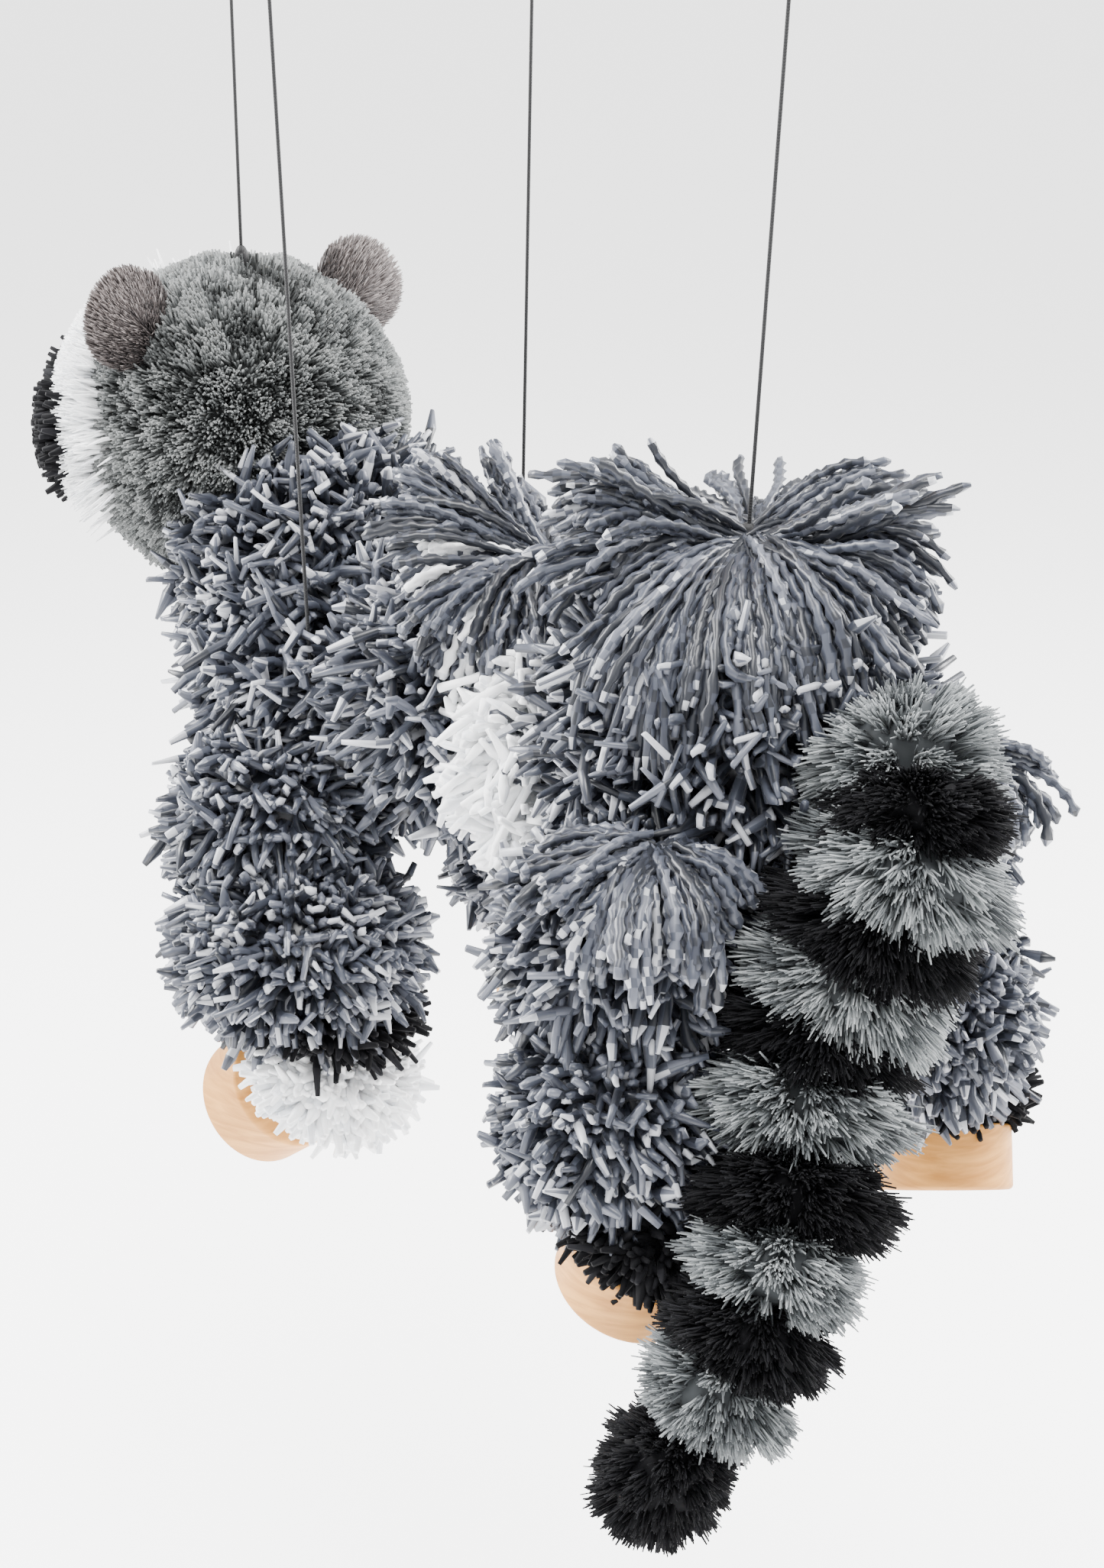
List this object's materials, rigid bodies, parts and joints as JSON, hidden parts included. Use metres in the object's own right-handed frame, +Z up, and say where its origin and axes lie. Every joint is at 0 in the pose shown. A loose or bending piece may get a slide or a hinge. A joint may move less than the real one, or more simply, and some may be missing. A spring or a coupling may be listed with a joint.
{
  "type": "marionette",
  "caption": "Four-string animal marionette: raccoon built of yarn pom-poms with wooden disc feet and a striped tail, hung from a wooden cross control",
  "frame": {"origin": "the hand grip on the centreline of the long control bar, above the puppet", "axes": "+Z up, the puppet faces -Y, its left side is +X"},
  "size_m": [0.2027, 0.4262, 0.6],
  "materials": {
    "wood": "light beech, sanded and left plain",
    "steel": "zinc-plated screw",
    "string": "thin braided black thread",
    "grey_yarn": "thick twisted blue-grey yarn with a sheen",
    "white_yarn": "thick knobbly white yarn",
    "black_yarn": "short black yarn loops",
    "head_pile": "dense sheared mottled grey pile",
    "ear_fur": "short brushed brown-grey fur fabric",
    "tail_grey": "brushed grey yarn",
    "tail_black": "brushed black yarn",
    "eye": "glossy black plastic",
    "nose": "glossy black plastic"
  },
  "bodies": {
    "control": {"control_bar": "wood", "cross_bar": "wood", "cross_screw": "steel", "knot_head": "string", "knot_rump": "string", "knot_left": "string", "knot_right": "string"},
    "string_head": {"string_head": "string"},
    "string_rump": {"string_rump": "string"},
    "string_left": {"string_left": "string"},
    "string_right": {"string_right": "string"},
    "trunk": {"chest": "grey_yarn", "collar": "grey_yarn", "belly": "grey_yarn", "flank": "white_yarn", "rump": "grey_yarn", "shoulder_tie_left": "string", "shoulder_tie_right": "string", "rump_tie": "string"},
    "crown": {"crown_tie": "string"},
    "head": {"head_pile": "head_pile", "ear_left": "ear_fur", "ear_right": "ear_fur", "muzzle": "white_yarn", "nose": "nose", "eye_left": "eye", "eye_right": "eye", "mask": "black_yarn", "brows": "white_yarn"},
    "front_left_thigh": {"front_left_upper": "grey_yarn"},
    "front_left_shin": {"front_left_lower": "grey_yarn", "front_left_band": "black_yarn", "front_left_paw": "white_yarn"},
    "front_left_disc": {"front_left_foot": "wood"},
    "rear_left_thigh": {"rear_left_upper": "grey_yarn"},
    "rear_left_shin": {"rear_left_lower": "grey_yarn", "rear_left_cuff": "black_yarn"},
    "rear_left_disc": {"rear_left_foot": "wood"},
    "front_right_thigh": {"front_right_upper": "grey_yarn"},
    "front_right_shin": {"front_right_lower": "grey_yarn", "front_right_band": "black_yarn", "front_right_paw": "white_yarn"},
    "front_right_disc": {"front_right_foot": "wood"},
    "rear_right_thigh": {"rear_right_upper": "grey_yarn"},
    "rear_right_shin": {"rear_right_lower": "grey_yarn", "rear_right_cuff": "black_yarn"},
    "rear_right_disc": {"rear_right_foot": "wood"},
    "tail_base": {"tail_01_grey": "tail_grey", "tail_02_black": "tail_black", "tail_03_grey": "tail_grey"},
    "tail_upper": {"tail_04_black": "tail_black", "tail_05_grey": "tail_grey", "tail_06_black": "tail_black"},
    "tail_lower": {"tail_07_grey": "tail_grey", "tail_08_black": "tail_black", "tail_09_grey": "tail_grey"},
    "tail_tip": {"tail_10_black": "tail_black", "tail_11_grey": "tail_grey", "tail_12_black": "tail_black"}
  },
  "joints": [
    {"name": "sway", "type": "slide", "parent": "control", "child": "trunk", "axis": [0, 1, 0], "range_m": [-0.015, 0.015]},
    {"name": "string_head_swing", "type": "hinge", "parent": "control", "child": "string_head", "pos_m": [0, -0.139, -0.0044], "axis": [1, 0, 0], "range_deg": [-5, 5]},
    {"name": "string_rump_swing", "type": "hinge", "parent": "control", "child": "string_rump", "pos_m": [0, 0.126, -0.0044], "axis": [1, 0, 0], "range_deg": [-5, 5]},
    {"name": "string_left_swing", "type": "hinge", "parent": "control", "child": "string_left", "pos_m": [0.058, -0.048, 0.0036], "axis": [1, 0, 0], "range_deg": [-5, 5]},
    {"name": "string_right_swing", "type": "hinge", "parent": "control", "child": "string_right", "pos_m": [-0.058, -0.048, 0.0036], "axis": [1, 0, 0], "range_deg": [-5, 5]},
    {"name": "head_turn", "type": "hinge", "parent": "trunk", "child": "crown", "pos_m": [0, -0.138, -0.277], "axis": [0, 0, 1], "range_deg": [-12, 12]},
    {"name": "head_nod", "type": "hinge", "parent": "crown", "child": "head", "pos_m": [0, -0.138, -0.277], "axis": [1, 0, 0], "range_deg": [-6, 6]},
    {"name": "front_left_hip", "type": "hinge", "parent": "trunk", "child": "front_left_thigh", "pos_m": [0.05, -0.062, -0.438], "axis": [1, 0, 0], "range_deg": [-20, 20]},
    {"name": "front_left_knee", "type": "hinge", "parent": "front_left_thigh", "child": "front_left_shin", "pos_m": [0.062, -0.037, -0.484], "axis": [1, 0, 0], "range_deg": [-15, 15]},
    {"name": "front_left_ankle", "type": "hinge", "parent": "front_left_shin", "child": "front_left_disc", "pos_m": [0.062, -0.023, -0.523], "axis": [1, 0, 0], "range_deg": [-4, 15]},
    {"name": "rear_left_hip", "type": "hinge", "parent": "trunk", "child": "rear_left_thigh", "pos_m": [0.058, 0.113, -0.43], "axis": [1, 0, 0], "range_deg": [-20, 1]},
    {"name": "rear_left_knee", "type": "hinge", "parent": "rear_left_thigh", "child": "rear_left_shin", "pos_m": [0.066, 0.123, -0.48], "axis": [1, 0, 0], "range_deg": [-12, 1]},
    {"name": "rear_left_ankle", "type": "hinge", "parent": "rear_left_shin", "child": "rear_left_disc", "pos_m": [0.067, 0.1369, -0.5165], "axis": [1, 0, 0], "range_deg": [-8, 3]},
    {"name": "front_right_hip", "type": "hinge", "parent": "trunk", "child": "front_right_thigh", "pos_m": [-0.05, -0.062, -0.438], "axis": [1, 0, 0], "range_deg": [-20, 20]},
    {"name": "front_right_knee", "type": "hinge", "parent": "front_right_thigh", "child": "front_right_shin", "pos_m": [-0.062, -0.037, -0.484], "axis": [1, 0, 0], "range_deg": [-15, 15]},
    {"name": "front_right_ankle", "type": "hinge", "parent": "front_right_shin", "child": "front_right_disc", "pos_m": [-0.062, -0.023, -0.523], "axis": [1, 0, 0], "range_deg": [-4, 15]},
    {"name": "rear_right_hip", "type": "hinge", "parent": "trunk", "child": "rear_right_thigh", "pos_m": [-0.06, 0.112, -0.432], "axis": [1, 0, 0], "range_deg": [-20, 2]},
    {"name": "rear_right_knee", "type": "hinge", "parent": "rear_right_thigh", "child": "rear_right_shin", "pos_m": [-0.067, 0.122, -0.488], "axis": [1, 0, 0], "range_deg": [-12, 2]},
    {"name": "rear_right_ankle", "type": "hinge", "parent": "rear_right_shin", "child": "rear_right_disc", "pos_m": [-0.07275, 0.12675, -0.5299], "axis": [1, 0, 0], "range_deg": [-8, 4]},
    {"name": "tail_swing", "type": "hinge", "parent": "trunk", "child": "tail_base", "pos_m": [0, 0.17, -0.366], "axis": [0, 1, 0], "range_deg": [-6, 6]},
    {"name": "tail_curl", "type": "hinge", "parent": "tail_base", "child": "tail_upper", "pos_m": [0.017, 0.1785, -0.413], "axis": [1, 0, 0], "range_deg": [-1, 6]},
    {"name": "tail_curl_lower", "type": "hinge", "parent": "tail_upper", "child": "tail_lower", "pos_m": [0.035, 0.1665, -0.463], "axis": [1, 0, 0], "range_deg": [-1, 6]},
    {"name": "tail_curl_tip", "type": "hinge", "parent": "tail_lower", "child": "tail_tip", "pos_m": [0.0665, 0.181, -0.518], "axis": [1, 0, 0], "range_deg": [-1, 6]}
  ],
  "couplings": [
    {"joint": "string_head_swing", "follows": "sway", "rad_per_m": 3.6684},
    {"joint": "string_rump_swing", "follows": "sway", "rad_per_m": 3.0998},
    {"joint": "string_left_swing", "follows": "sway", "rad_per_m": 2.4963},
    {"joint": "string_right_swing", "follows": "sway", "rad_per_m": 2.4963},
    {"joint": "tail_curl_lower", "follows": "tail_curl", "ratio": 1},
    {"joint": "tail_curl_tip", "follows": "tail_curl", "ratio": 1}
  ]
}
